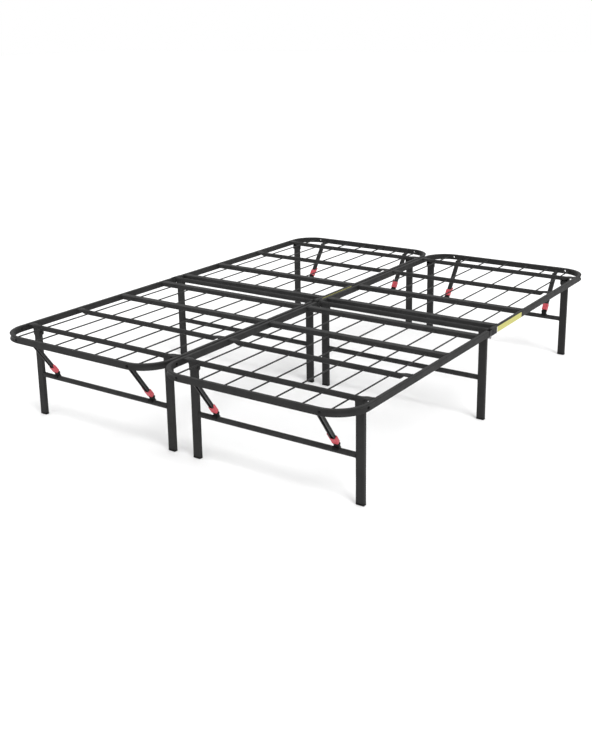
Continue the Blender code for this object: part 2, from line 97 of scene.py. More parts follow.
# Rim: a rectangular tube bent into a U
RIM_WIDTH = 0.015
RIM_HEIGHT = 0.0235
RIM_EDGE = 0.0024
RIM_CORNER_RADIUS = 0.115
RIM_CRUSH = 0.0046
RIM_INNER_CRUSH = 0.0016
RIM_CRUSH_RUN = 0.2
RIM_BEND_STEPS = 26
RIM_WALL_STEPS = 9
RIM_END_BULGE = 0.004
RIM_END_SHRINK = 0.35
RIM_HOLE_RADIUS = 0.0055
RIM_HOLE_SIDES = 24
RIM_HOLE_INSET = 0.107
RIM_MID_Z = BED_HEIGHT - RIM_HEIGHT / 2
RIM_LOW_Z = BED_HEIGHT - RIM_HEIGHT

# Fold hinge
HINGE_PLATE = 0.0016
HINGE_PLATE_EDGE = 0.0005
HINGE_PLATE_MARGIN = 0.002
HINGE_HEAD = 0.0004
HINGE_Y = -0.047
HINGE_Z = 0.331
HINGE_EYE_RADIUS = 0.0065
HINGE_PLATE_END_Y = 0.010
HINGE_PIN_RADIUS = 0.005
HINGE_PIN_BORE = 0.0024
HINGE_PIN_SIDES = 28
HINGE_RING_RISE = 0.0009
NEAR_RAIL_END_Y = -0.055
FAR_RAIL_END_Y = -0.020
TONGUE_WIDTH = 0.006
TONGUE_ROOT = 0.006
TONGUE_DROP = 0.004
TONGUE_SHOULDER_Y = 0.006
TONGUE_SHOULDER_Z = 0.008
RIB_COUNT = 4
RIB_PITCH = 0.012
RIB_RADIUS = 0.0022
RIB_INSET = 0.004
RIB_END_GAP = 0.0015
RIB_END_ROUND = 0.001
RIB_RISE = 0.0013
RIB_RISE_INSIDE = 0.0005
RAIL_OUTER_X = UNIT_HALF_WIDTH - HINGE_PLATE - HINGE_HEAD
RAIL_MID_X = RAIL_OUTER_X - RIM_WIDTH / 2

# Deck
TUBE_RADIUS = 0.0095
TUBE_Z = BED_HEIGHT - TUBE_RADIUS
PRESSED_HEIGHT = 0.0046
PRESSED_RUN = 0.040
PRESSED_STEPS = 8
PRESSED_SPEED = 1.8
SLAT_WIDTH = 0.030
SLAT_HEIGHT = 0.018
SLAT_EDGE = 0.0035
ROD_RADIUS = 0.0027
ROD_PITCH = 0.098
ROD_COUNT = 7
WELD = 0.0013
WELD_SIDES = 8
WELD_RIPPLE = 0.16
WELD_RIPPLE_PACE = 2.3
WELD_UNEVEN = 0.08
TUBE_SIDES = 28
COLLAR_SEAT = 0.93
NEAR_TUBE_Y = -0.620
NEAR_SLATS_Y = (-0.368, -0.116)
FAR_TUBE_Y = 0.577
FAR_SLATS_Y = (0.277, 0.035)

# Legs and their brackets
LEG_WIDTH = 0.030
LEG_DEPTH = 0.015
LEG_EDGE = 0.0022
LEG_PIVOT_Z = 0.3286
CROSS_BAR_Z = 0.162
CROSS_BAR_RADIUS = 0.0095
PLATE = 0.0015
MIDDLE_PRESSED_RUN = 0.012
MIDDLE_PRESSED_SHARE = 0.35
BRACKET_DEPTH = 0.021
BRACKET_BEND = 0.0022
BRACKET_TOP_SHARE = 0.55
BRACKET_TOP_BACK = 0.003
BRACKET_CORNER_STEPS = 8
BRACKET_LOW_Z = 0.3175
BRACKET_CORNER = 0.006
SLIP = 0.0004
RIVET_HEAD_RADIUS = 0.005
RIVET_HEAD = 0.0019
RIVET_NECK_RADIUS = 0.003
FOOT_SKIN = 0.0006
FOOT_CORNER = 0.0032

# Braces, along the brace from its pivot and outward from its middle line
BRACE_X = 0.238
BRACE_PIVOT_Y = 0.9715
BRACE_PIVOT_Z = 0.331
BRACE_LEAN = math.radians(36)
BRACE_HALF = 0.009
BRACE_DEEP = 0.006
BRACE_WALL = 0.0018
HEM_RADIUS = 0.0013
WEB_BEAD_START = 0.030
WEB_BEAD_END = 0.150
BRACE_BEND = 0.0028
BRACE_END = 0.172
LUG_WIDTH = 0.0128
LUG_EYE_RADIUS = 0.005
LUG_ROOT = 0.004
LUG_WELD_FOOT = 0.0025
LUG_WELD_PITCH = 0.0015
LUG_WELD_POINTS = 8
NECK_START = 0.160
NECK_OUT = 0.001
KNUCKLE_AT = 0.1815
KNUCKLE_RADIUS = 0.006
KNUCKLE_HALF = 0.012
SADDLE_HALF = 0.010
SADDLE_RADIUS = 0.0135
SADDLE_TOP = 140
SADDLE_FOOT = 275
SADDLE_GAP = 0.0005
SADDLE_LIP_GAP = 0.0011
END_LEG_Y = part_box("left_far_foot_left")[0].y / 2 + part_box("left_far_foot_left")[1].y / 2
BRACE_RUN = BRACE_PIVOT_Y - END_LEG_Y
BRACE_FALL = BRACE_PIVOT_Z - CROSS_BAR_Z
BAR_AT = BRACE_RUN * math.sin(BRACE_LEAN) + BRACE_FALL * math.cos(BRACE_LEAN)
BAR_OUT = BRACE_FALL * math.sin(BRACE_LEAN) - BRACE_RUN * math.cos(BRACE_LEAN)
CLIP_LOW = 0.145
CLIP_HIGH = 0.175
CLIP_HALF = 0.012
CLIP_DEEP = 0.0079
CLIP_NOTCH = 0.007
CLIP_SLIP = 0.0003
CLIP_RIDGES = 4
CLIP_RIDGE_PITCH = 0.0032

# Clip lever: place along the brace, rise off the clip's side, half width, thickness
LEVER = ((0.162, -0.0012, 0.0048, 0.0022), (0.153, -0.0002, 0.0056, 0.0025),
         (0.146, 0.0008, 0.0052, 0.0022), (0.139, 0.0022, 0.0042, 0.0019),
         (0.134, 0.0034, 0.0036, 0.0019), (0.1315, 0.0040, 0.0026, 0.0014))

# Label
LABEL_CORNER = 0.0025
LABEL_EDGE = 0.0002
LABEL_TAB_EDGE = -0.1115
LABEL_TAB_BLUR = 0.0003
LABEL_TAB = (0.62, 0.62, 0.60)

# Camera, fitted to the photograph; focal length and height are in the same unit, turns in degrees
PICTURE_HEIGHT = 743
FOCAL_LENGTH = 1012.24
SENSOR_WIDTH = 36
CAMERA_SHIFT = -0.11
CAMERA_PLACE = (2.16833, -3.31642, 1.43859)
CAMERA_YAW = 34.62
CAMERA_DIP = 14.76
CAMERA_ROLL = -0.86
CAMERA_NEAR = 0.1
CAMERA_FAR = 90

# Studio
SKY_STRENGTH = 1.0
SUN_ENERGY = 1.6
SUN_SPREAD = 25
SUN_DIRECTION = (-0.75, 0.35, -1.0)
FLOOR_SIZE = 40
FLOOR_DROP = 0.0005
PAPER = (0.92, 0.92, 0.92, 1)
PAPER_ROUGHNESS = 0.9

STEEL_SLOT = "powder_coated_steel"
NONE = (0, 0, 0)
FULL = (1, 1, 1)
X_AXIS = Vector((1, 0, 0))
Y_AXIS = Vector((0, 1, 0))
Z_AXIS = Vector((0, 0, 1))
SIDES = (("left", -1), ("right", 1))
MESHES = {}


# ---- mesh helpers -------------------------------------------------------------------------------

def smooth(share):
    """Eases a share from 0 to 1."""
    share = min(1.0, max(0.0, share))
    return share * share * (3 - 2 * share)


def circle(radius, sides, turn=0.5):
    """A round outline; turn shifts the first point by that share of a side."""
    angles = [2 * math.pi * (step + turn) / sides for step in range(sides)]
    return [(radius * math.cos(angle), radius * math.sin(angle)) for angle in angles]


def arc(centre, radius, start, end, steps):
    """Points on an arc, angles in degrees."""
    points = []
    for step in range(steps + 1):
        angle = math.radians(start + (end - start) * step / steps)
        points.append((centre[0] + radius * math.cos(angle), centre[1] + radius * math.sin(angle)))
    return points


def rounded(width, height, radius, corner_steps=4, wall_steps=1):
    """A rectangle with round corners, its upright walls split into wall_steps spans."""
    reach, rise = width / 2 - radius, height / 2 - radius
    corners = (((reach, rise), 0), ((-reach, rise), 90), ((-reach, -rise), 180), ((reach, -rise), 270))
    points = []
    for centre, start in corners:
        bend = arc(centre, radius, start, start + 90, corner_steps)
        if start in (0, 180):
            foot = (bend[0][0], -bend[0][1])
            for step in range(1, wall_steps):
                points.append((bend[0][0], foot[1] + (bend[0][1] - foot[1]) * step / wall_steps))
        points += bend
    return points


def ring(outline, origin, across, up):
    """An outline's points in space."""
    return [Vector(origin) + across * a + up * b for a, b in outline]


def loft(shape, rings, closed=False):
    """Skins a row of rings; a row that isn't closed gets end caps."""
    rows = [[shape.verts.new(point) for point in points] for points in rings]
    pairs = list(zip(rows, rows[1:]))
    if closed:
        pairs.append((rows[-1], rows[0]))
    count = len(rows[0])
    for low, high in pairs:
        for index in range(count):
            after = (index + 1) % count
            shape.faces.new((low[index], low[after], high[after], high[index]))
    if not closed:
        shape.faces.new(list(reversed(rows[0])))
        shape.faces.new(rows[-1])


def bar(shape, start, end, outline, up, end_round=0.0):
    """A straight bar of one section; end_round rounds the edges of its two ends."""
    start, end = Vector(start), Vector(end)
    along = (end - start).normalized()
    across = along.cross(up)
    wide = max(a for a, _ in outline)
    high = max(b for _, b in outline)
    low_rings, high_rings = [], []
    for degrees in (0, 30, 60, 90) if end_round else (0,):
        turn = math.radians(degrees)
        inset = end_round * (1 - math.sin(turn))
        step = end_round * (1 - math.cos(turn))
        section = [(a * (1 - inset / wide), b * (1 - inset / high)) for a, b in outline]
        low_rings.append(ring(section, start + along * step, across, up))
        high_rings.append(ring(section, end - along * step, across, up))
    loft(shape, low_rings + high_rings[::-1])


def turned(shape, origin, axis, profile, sides=20):
    """A turned solid; profile is (distance along the axis, radius), closed at both ends."""
    axis = Vector(axis).normalized()
    across = axis.orthogonal().normalized()
    up = axis.cross(across)
    rings = [ring(circle(radius, sides, 0), Vector(origin) + axis * along, across, up)
             for along, radius in profile]
    loft(shape, rings)


def plate(shape, outline, place, thickness):
    """A flat outline thickened both ways, put in space by a matrix."""
    rings = []
    for side in (-1, 1):
        rings.append([place @ Vector((a, b, side * thickness / 2)) for a, b in outline])
    loft(shape, rings)


def side_plane(x_middle):
    """Local x is world Y, local y is world Z, at a given X."""
    return Matrix(((0, 0, 1, x_middle), (1, 0, 0, 0), (0, 1, 0, 0), (0, 0, 0, 1)))


def bead(shape, points, normal, radius, closed):
    """A rippled weld bead along a line of points that lies square to normal."""
    count = len(points)
    rings = []
    for index, point in enumerate(points):
        before = points[index - 1] if closed or index else point
        after = points[(index + 1) % count] if closed or index < count - 1 else point
        out = (after - before).normalized().cross(normal)
        ripple = WELD_RIPPLE * math.sin(WELD_RIPPLE_PACE * index)
        size = radius * (1 + ripple + random.uniform(-WELD_UNEVEN, WELD_UNEVEN))
        rings.append(ring(circle(size, WELD_SIDES), point, out, normal))
    loft(shape, rings, closed)


def collar(shape, origin, axis):
    """A small weld fillet where a rod leaves a tube or meets the rim."""
    profile = [(-0.001, 0.0041), (0.0006, 0.0038), (0.0015, 0.0029), (0.0022, 0.0019)]
    turned(shape, origin, axis, profile, 10)


def solid(shape, bevel=0.0, segments=3, cuts=(), extras=None, sharp=35):
    """The final mesh of a shape: cut, bevelled, with smooth faces, and any welds added last."""
    bmesh.ops.recalc_face_normals(shape, faces=shape.faces)
    items = [scratch(shape)] + [scratch(cut) for cut in cuts]
    for cut in items[1:]:
        step = items[0].modifiers.new("cut", "BOOLEAN")
        step.solver = "EXACT"
        step.operation = "DIFFERENCE"
        step.object = cut
    if bevel:
        step = items[0].modifiers.new("bevel", "BEVEL")
        step.width = bevel
        step.segments = segments
        step.limit_method = "ANGLE"
        step.angle_limit = math.radians(sharp)
    bpy.context.view_layer.update()
    evaluated = items[0].evaluated_get(bpy.context.evaluated_depsgraph_get())
    mesh = bpy.data.meshes.new_from_object(evaluated)
    for item in items:
        bpy.data.objects.remove(item)
    if extras is not None:
        bmesh.ops.recalc_face_normals(extras, faces=extras.faces)
        extras.from_mesh(mesh)
        extras.to_mesh(mesh)
        extras.free()
    mesh.shade_smooth()
    mesh.set_sharp_from_angle(angle=math.radians(sharp))
    return mesh


def scratch(shape):
    """A passing object that holds a shape for a modifier."""
    mesh = bpy.data.meshes.new("scratch")
    bmesh.ops.recalc_face_normals(shape, faces=shape.faces)
    shape.to_mesh(mesh)
    shape.free()
    item = bpy.data.objects.new("scratch", mesh)
    bpy.context.collection.objects.link(item)
    return item


def joined(first, *others):
    """Adds the shapes into the first one."""
    for other in others:
        mesh = bpy.data.meshes.new("part")
        bmesh.ops.recalc_face_normals(other, faces=other.faces)
        other.to_mesh(mesh)
        other.free()
        first.from_mesh(mesh)
        bpy.data.meshes.remove(mesh)
    return first


def shared(key, build):
    """The mesh for a key, built the first time that it is asked for."""
    if key not in MESHES:
        MESHES[key] = build()
    return MESHES[key]


def piece(name, mesh, place, look, node, stands_for=False):
    """A mesh as a piece on a CAD node's body; one that stands for the node replaces it."""
    item = bpy.data.objects.new(name, mesh)
    bpy.context.collection.objects.link(item)
    item.matrix_world = place
    if not mesh.materials:
        mesh.materials.append(look)
    item.modifiers.new("normals", "WEIGHTED_NORMAL").keep_sharp = True
    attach(item, frame["nodes"][node]["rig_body"])
    if stands_for:
        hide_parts(node)
    return item


# ---- materials ----------------------------------------------------------------------------------

def new_look(name, slot):
    """An empty material, its slot kept on it."""
    look = bpy.data.materials.new(name)
    look.use_nodes = True
    look["slot"] = slot
    return look, look.node_tree.nodes, look.node_tree.links


def noise(nodes, links, scale, detail, roughness=0.5):
    """Noise in the piece's own space; scale is in cells per metre."""
    place = nodes.new("ShaderNodeTexCoord")
    grain = nodes.new("ShaderNodeTexNoise")
    grain.inputs["Scale"].default_value = scale
    grain.inputs["Detail"].default_value = detail
    grain.inputs["Roughness"].default_value = roughness
    links.new(place.outputs["Object"], grain.inputs["Vector"])
    return grain.outputs["Fac"]


def ramp(nodes, links, source, stops):
    """A colour ramp from a value; stops are (place, colour)."""
    blend = nodes.new("ShaderNodeValToRGB")
    links.new(source, blend.inputs["Fac"])
    elements = blend.color_ramp.elements
    while len(elements) < len(stops):
        elements.new(0.5)
    for element, (place, colour) in zip(elements, stops):
        element.position = place
        element.color = (*colour, 1.0)
    return blend.outputs["Color"]


def mask(nodes, links, source, low, high, full=FULL):
    """A ramp from black at low to full at high."""
    return ramp(nodes, links, source, [(low, NONE), (high, full)])


def mixed(nodes, links, share, first, second):
    """One colour into another by a share; 6, 7 and 2 are the node's colour sockets."""
    blend = nodes.new("ShaderNodeMix")
    blend.data_type = "RGBA"
    links.new(share, blend.inputs["Factor"])
    for socket, value in ((blend.inputs[6], first), (blend.inputs[7], second)):
        if isinstance(value, tuple):
            socket.default_value = (*value, 1.0)
        else:
            links.new(value, socket)
    return blend.outputs[2]


def bump(nodes, links, shader, height, distance, strength):
    """Fine relief from a value."""
    relief = nodes.new("ShaderNodeBump")
    relief.inputs["Distance"].default_value = distance
    relief.inputs["Strength"].default_value = strength
    links.new(height, relief.inputs["Height"])
    links.new(relief.outputs["Normal"], shader.inputs["Normal"])


def powder_coat(name, dark, light):
    """Charcoal powder coat: fine orange peel, speckle, cloudy shade and rubbed edges."""
    look, nodes, links = new_look(name, STEEL_SLOT)
    shader = nodes["Principled BSDF"]
    shader.inputs["Specular IOR Level"].default_value = 0.14
    cloud = ramp(nodes, links, noise(nodes, links, 14, 4), [(0.35, (dark,) * 3), (0.68, (light,) * 3)])
    fleck = mask(nodes, links, noise(nodes, links, 1900, 2), 0.52, 0.72)
    coat = mixed(nodes, links, fleck, cloud, (light * 1.5, light * 1.48, light * 1.46))
    shape = nodes.new("ShaderNodeNewGeometry")
    edge = mask(nodes, links, shape.outputs["Pointiness"], 0.57, 0.70)
    patch = mask(nodes, links, noise(nodes, links, 60, 5, 0.7), 0.45, 0.62)
    rubbed = mixed(nodes, links, edge, NONE, patch)
    links.new(mixed(nodes, links, rubbed, coat, (light * 2.2,) * 3), shader.inputs["Base Color"])
    sheen = ramp(nodes, links, noise(nodes, links, 35, 3), [(0.3, (0.52,) * 3), (0.7, (0.64,) * 3)])
    links.new(sheen, shader.inputs["Roughness"])
    bump(nodes, links, shader, noise(nodes, links, 820, 3, 0.6), 0.00025, 0.35)
    return look


def moulded(name, slot, colour, pale, roughness, shine):
    """Moulded plastic: slight flow marks, a fine spark texture and paler edges."""
    look, nodes, links = new_look(name, slot)
    shader = nodes["Principled BSDF"]
    shader.inputs["Specular IOR Level"].default_value = shine
    flow = ramp(nodes, links, noise(nodes, links, 90, 3), [(0.3, colour), (0.75, pale)])
    shape = nodes.new("ShaderNodeNewGeometry")
    edge = mask(nodes, links, shape.outputs["Pointiness"], 0.52, 0.66, (0.7,) * 3)
    links.new(mixed(nodes, links, edge, flow, pale), shader.inputs["Base Color"])
    gloss = ramp(nodes, links, noise(nodes, links, 400, 2),
                 [(0.3, (roughness - 0.06,) * 3), (0.7, (roughness + 0.08,) * 3)])
    links.new(gloss, shader.inputs["Roughness"])
    bump(nodes, links, shader, noise(nodes, links, 2200, 2), 0.0001, 0.3)
    return look


def sticker(name, slot):
    """Plain yellow film with a faint paper grain and a pale tab at its near end."""
    look, nodes, links = new_look(name, slot)
    shader = nodes["Principled BSDF"]
    grain = ramp(nodes, links, noise(nodes, links, 700, 4),
                 [(0.3, (0.42, 0.40, 0.095)), (0.7, (0.49, 0.47, 0.12))])
    cloud = mask(nodes, links, noise(nodes, links, 45, 3), 0.4, 0.8, (0.35,) * 3)
    film = mixed(nodes, links, cloud, grain, (0.39, 0.38, 0.11))
    place = nodes.new("ShaderNodeTexCoord")
    split = nodes.new("ShaderNodeSeparateXYZ")
    links.new(place.outputs["Object"], split.inputs["Vector"])
    reach = nodes.new("ShaderNodeMapRange")
    reach.inputs["From Min"].default_value = LABEL_TAB_EDGE - LABEL_TAB_BLUR
    reach.inputs["From Max"].default_value = LABEL_TAB_EDGE + LABEL_TAB_BLUR
    links.new(split.outputs["Y"], reach.inputs["Value"])
    links.new(mixed(nodes, links, reach.outputs["Result"], LABEL_TAB, film), shader.inputs["Base Color"])
    shader.inputs["Roughness"].default_value = 0.5
    bump(nodes, links, shader, noise(nodes, links, 300, 4), 0.00015, 0.25)
    return look


STEEL = powder_coat("powder_coat", 0.015, 0.022)
# Paler copy of the powder coat: painted light on the brace's hems and web bead, lifting them out of the
# channel's shade
PAINTED_LIGHT_COAT = powder_coat("painted_light_coat", 0.060, 0.095)
# Much paler copy of the powder coat: a painted highlight on the hinge rings and pin heads
PAINTED_HIGHLIGHT_COAT = powder_coat("painted_highlight_coat", 0.16, 0.26)
BLACK = moulded("black_moulding", "black_plastic", (0.003,) * 3, (0.007,) * 3, 0.42, 0.14)
RED = moulded("red_moulding", "red_plastic", (0.45, 0.035, 0.055), (0.55, 0.070, 0.090), 0.38, 0.5)
YELLOW = sticker("yellow_film", "yellow_label")


# ---- rims ---------------------------------------------------------------------------------------

def rim_stations(tail):
    """A U in plan, from one tail to the other: point, outward direction, share of the crush."""
    radius = RIM_CORNER_RADIUS - RIM_WIDTH / 2
    bend_x = RAIL_OUTER_X - RIM_CORNER_RADIUS
    bend_y = END_Y - RIM_CORNER_RADIUS
    half = [((RAIL_MID_X, tail), (1, 0), 0.0)]
    for step in range(RIM_BEND_STEPS + 1):
        share = step / RIM_BEND_STEPS
        angle = math.pi / 2 * share
        out = (math.cos(angle), math.sin(angle))
        point = (bend_x + radius * out[0], bend_y + radius * out[1])
        crush = smooth(share / RIM_CRUSH_RUN) * smooth((1 - share) / RIM_CRUSH_RUN)
        half.append((point, out, crush))
    other = [((-x, y), (-a, b), crush) for (x, y), (a, b), crush in reversed(half)]
    return half + other


def crushed(outline, crush):
    """The tube's section in a bend: the outer wall sinks into a groove, the inner wall a little."""
    points = []
    for a, b in outline:
        depth = max(0.0, 1 - (b / (RIM_HEIGHT / 2 - RIM_EDGE / 2)) ** 2) ** 1.5
        sink = (RIM_CRUSH if a > 0 else -RIM_INNER_CRUSH) * crush * depth
        points.append((a - sink, b))
    return points


def rim_mesh(end, tail):
    """A rim half; end is -1 for the near half and +1 for the far half."""
    outline = rounded(RIM_WIDTH, RIM_HEIGHT, RIM_EDGE, 4, RIM_WALL_STEPS)
    rings = []
    for (x, y), (out_x, out_y), crush in rim_stations(end * tail):
        across = Vector((out_x, end * out_y, 0))
        rings.append(ring(crushed(outline, crush), (x, end * y, RIM_MID_Z), across, Z_AXIS))
    back = Vector((0, -end, 0))
    for at_start in (True, False):
        tip = rings[0] if at_start else rings[-1]
        middle = sum(tip, Vector()) / len(tip)
        caps = []
        for degrees in (30, 60, 85):
            turn = math.radians(degrees)
            scale = 1 - RIM_END_SHRINK * (1 - math.cos(turn))
            shift = back * RIM_END_BULGE * math.sin(turn)
            caps.append([middle + (point - middle) * scale + shift for point in tip])
        rings = caps[::-1] + rings if at_start else rings + caps
    shape = bmesh.new()
    loft(shape, rings)
    cuts = []
    hole_y = end * (END_Y - RIM_HOLE_INSET)
    for side in (-1, 1):
        hole_x = side * (UNIT_HALF_WIDTH - RIM_HOLE_INSET)
        spots = (((hole_x, end * (END_Y - RIM_WIDTH / 2), RIM_MID_Z), Y_AXIS),
                 ((side * RAIL_MID_X, hole_y, RIM_MID_Z), X_AXIS))
        for spot, axis in spots:
            cut = bmesh.new()
            reach = axis * RIM_WIDTH
            outline = circle(RIM_HOLE_RADIUS, RIM_HOLE_SIDES)
            bar(cut, Vector(spot) - reach, Vector(spot) + reach, outline, Z_AXIS)
            cuts.append(cut)
    return solid(shape, cuts=cuts)


def lug_mesh(end):
    """A tongue under the end rail, with its weld."""
    face = END_Y - RIM_WIDTH
    outline = arc((BRACE_PIVOT_Y, BRACE_PIVOT_Z), LUG_EYE_RADIUS, 110, 290, 16)
    outline += [(face + LUG_ROOT, RIM_LOW_Z + 0.002), (face + LUG_ROOT, RIM_LOW_Z + 0.014)]
    shape = bmesh.new()
    plate(shape, [(end * y, z) for y, z in outline], side_plane(0), LUG_WIDTH)
    welds = bmesh.new()
    for side in (-1, 1):
        x = side * LUG_WIDTH / 2
        heights = [RIM_LOW_Z + LUG_WELD_FOOT + LUG_WELD_PITCH * step for step in range(LUG_WELD_POINTS)]
        line = [Vector((x, end * (face - 0.0002), height)) for height in heights]
        bead(welds, line, Y_AXIS, WELD, False)
    return solid(shape, FORGED_EDGE, extras=welds)


def tongue_mesh():
    """The near rail's tongue, which turns between the far rail's plates."""
    root = NEAR_RAIL_END_Y - TONGUE_ROOT
    top = BED_HEIGHT - TONGUE_DROP
    outline = arc((HINGE_Y, HINGE_Z), HINGE_EYE_RADIUS - 0.0005, 0, -150, 14)
    outline += [(root, RIM_LOW_Z + 0.002), (root, top), (HINGE_Y, top)]
    outline += [(HINGE_Y + TONGUE_SHOULDER_Y, HINGE_Z + TONGUE_SHOULDER_Z)]
    shape = bmesh.new()
    plate(shape, outline, side_plane(0), TONGUE_WIDTH)
    return solid(shape, FORGED_EDGE)


def hinge_plate_mesh(rib_rise):
    """A plate on the far rail's end, pressed into upright ribs; it faces +X."""
    outline = arc((HINGE_Y, HINGE_Z), HINGE_EYE_RADIUS, 170, 350, 20)
    outline += [(HINGE_Y + HINGE_EYE_RADIUS + HINGE_PLATE_MARGIN, RIM_LOW_Z)]
    outline += [(HINGE_PLATE_END_Y, RIM_LOW_Z), (HINGE_PLATE_END_Y, BED_HEIGHT)]
    outline += [(HINGE_Y + HINGE_PLATE_MARGIN, BED_HEIGHT)]
    outline += [(HINGE_Y - HINGE_EYE_RADIUS * 0.75, BED_HEIGHT - 0.003)]
    outline += [(HINGE_Y - HINGE_EYE_RADIUS, BED_HEIGHT - 0.008)]
    shape = bmesh.new()
    plate(shape, outline, side_plane(0), HINGE_PLATE)
    ribs = bmesh.new()
    centre_x = HINGE_PLATE / 2 + rib_rise - RIB_RADIUS
    for index in range(RIB_COUNT):
        y = HINGE_PLATE_END_Y - RIB_INSET - index * RIB_PITCH
        bar(ribs, (centre_x, y, RIM_LOW_Z + RIB_END_GAP), (centre_x, y, BED_HEIGHT - RIB_END_GAP),
            circle(RIB_RADIUS, 16), Y_AXIS, RIB_END_ROUND)
    return solid(shape, HINGE_PLATE_EDGE, extras=ribs)


def hinge_ring_mesh(rib_rise):
    """The rolled edge round a hinge plate's eye, painted bright as a highlight; it faces +X."""
    rise = min(rib_rise, HINGE_RING_RISE)
    x = HINGE_PLATE / 2 + rise - HINGE_RING_RISE
    section = circle(HINGE_RING_RISE, 10)
    rings = []
    for y, z in arc((HINGE_Y, HINGE_Z), HINGE_EYE_RADIUS - HINGE_RING_RISE, 150, 370, 30):
        outward = Vector((0, y - HINGE_Y, z - HINGE_Z)).normalized()
        rings.append(ring(section, (x, y, z), outward, X_AXIS))
    shape = bmesh.new()
    loft(shape, rings)
    return solid(shape)


def pin_mesh(near_rise, far_rise):
    """A hollow rivet along X through both plates, its heads rolled outward."""
    shape = bmesh.new()
    reach = RIM_WIDTH / 2 + HINGE_PLATE
    profile = []
    for side, rise in ((-1, near_rise), (1, far_rise)):
        head = [(-0.0012, HINGE_PIN_BORE * 0.2), (-0.001, HINGE_PIN_BORE), (rise * 0.7, HINGE_PIN_BORE)]
        head += [(rise, HINGE_PIN_BORE + 0.0005), (rise, HINGE_PIN_RADIUS - 0.0009)]
        head += [(rise * 0.6, HINGE_PIN_RADIUS - 0.0002), (0.0, HINGE_PIN_RADIUS), (-0.0002, 0.003)]
        head = [(side * (reach + along), radius) for along, radius in head]
        profile += head if side < 0 else head[::-1]
    turned(shape, (0, 0, 0), X_AXIS, profile, HINGE_PIN_SIDES)
    return solid(shape)


def build_rims(unit, unit_x):
    """Both rims of a unit, with the tongues for its braces."""
    for half, end, tail in (("near", -1, NEAR_RAIL_END_Y), ("far", 1, FAR_RAIL_END_Y)):
        node = f"{unit}_{half}_rim"
        place = Matrix.Translation((unit_x, 0, 0))
        piece(node + "_tube", shared(("rim", half), lambda: rim_mesh(end, tail)), place, STEEL, node, True)
        for word, side in SIDES:
            place = Matrix.Translation((unit_x + side * BRACE_X, 0, 0))
            mesh = shared(("lug", half), lambda: lug_mesh(end))
            piece(f"{unit}_{half}_{word}_brace_lug", mesh, place, STEEL, node)


def build_hinge(unit, unit_x, outer_side):
    """Tongues, plates and pins; outer_side is the side of the unit that has no neighbour."""
    for word, side in SIDES:
        rail_x = unit_x + side * RAIL_MID_X
        place = Matrix.Translation((rail_x, 0, 0))
        near, far = unit + "_near_rim", unit + "_far_rim"
        piece(f"{unit}_{word}_hinge_tongue", shared("tongue", tongue_mesh), place, STEEL, near)
        rises = []
        for face in (-1, 1):
            faces_neighbour = face == side and side != outer_side
            rise = RIB_RISE_INSIDE if faces_neighbour else RIB_RISE
            rises.append(rise)
            mesh = shared(("hinge_plate", rise), lambda: hinge_plate_mesh(rise))
            offset = face * (RIM_WIDTH + HINGE_PLATE) / 2
            turn = Matrix.Scale(face, 4, X_AXIS)
            where = Matrix.Translation((rail_x + offset, 0, 0)) @ turn
            facing = "outer" if face == side else "inner"
            piece(f"{unit}_{word}_hinge_plate_{facing}", mesh, where, STEEL, far)
            mesh = shared(("hinge_ring", rise), lambda: hinge_ring_mesh(rise))
            # The ring round the eye is painted bright as a highlight
            piece(f"{unit}_{word}_hinge_ring_{facing}", mesh, where, PAINTED_HIGHLIGHT_COAT, far)
        mesh = shared(("pin", *rises), lambda: pin_mesh(*rises))
        # The hinge pin is painted bright as a highlight
        piece(f"{unit}_{word}_hinge_pin", mesh, Matrix.Translation((rail_x, HINGE_Y, HINGE_Z)), PAINTED_HIGHLIGHT_COAT, near)


# ---- deck ---------------------------------------------------------------------------------------

def pressed(share):
    """A round tube's section pressed flat, its top at the same height and its skin as long."""
    height = 2 * TUBE_RADIUS + (PRESSED_HEIGHT - 2 * TUBE_RADIUS) * share
    spread = math.pi * (2 * TUBE_RADIUS - height) / 4
    drop = TUBE_RADIUS - height / 2
    return [(a * height / 2 / TUBE_RADIUS + math.copysign(spread, a), b * height / 2 / TUBE_RADIUS + drop)
            for a, b in circle(TUBE_RADIUS, TUBE_SIDES)]


def cross_tube(shape, reach, run, share=1.0):
    """A round tube along X whose last run at each end is pressed flat; origin on its axis."""
    stations = []
    for step in range(PRESSED_STEPS, -1, -1):
        out = step / PRESSED_STEPS
        stations.append((-(reach - run) - run * out, smooth(out * PRESSED_SPEED)))
    stations += [(-x, flat) for x, flat in reversed(stations)]
    loft(shape, [ring(pressed(flat * share), (x, 0, 0), Y_AXIS, Z_AXIS) for x, flat in stations])


def end_welds(shape, outline, reach):
    """Beads where a bar along X meets the rim at both ends."""
    for side in (-1, 1):
        loop = ring(outline, (side * (reach - 0.0003), 0, 0), Y_AXIS, Z_AXIS)
        bead(shape, loop, X_AXIS, WELD, True)


def rod_x(index):
    """A rod's place across its unit."""
    return (index - (ROD_COUNT - 1) / 2) * ROD_PITCH


def collars(shape, half_width, height, sides=(-1, 1)):
    """Rod welds along a cross tube, on its near (-1) or far (1) side."""
    for index in range(ROD_COUNT):
        for side in sides:
            collar(shape, (rod_x(index), side * half_width, height), Y_AXIS * side)


def deck_tube_mesh():
    """The deck's round cross tube, origin on its axis."""
    shape = bmesh.new()
    cross_tube(shape, CROSS_REACH, PRESSED_RUN)
    end_welds(shape, pressed(1.0), CROSS_REACH)
    collars(shape, TUBE_RADIUS * COLLAR_SEAT, 0)
    return solid(shape)


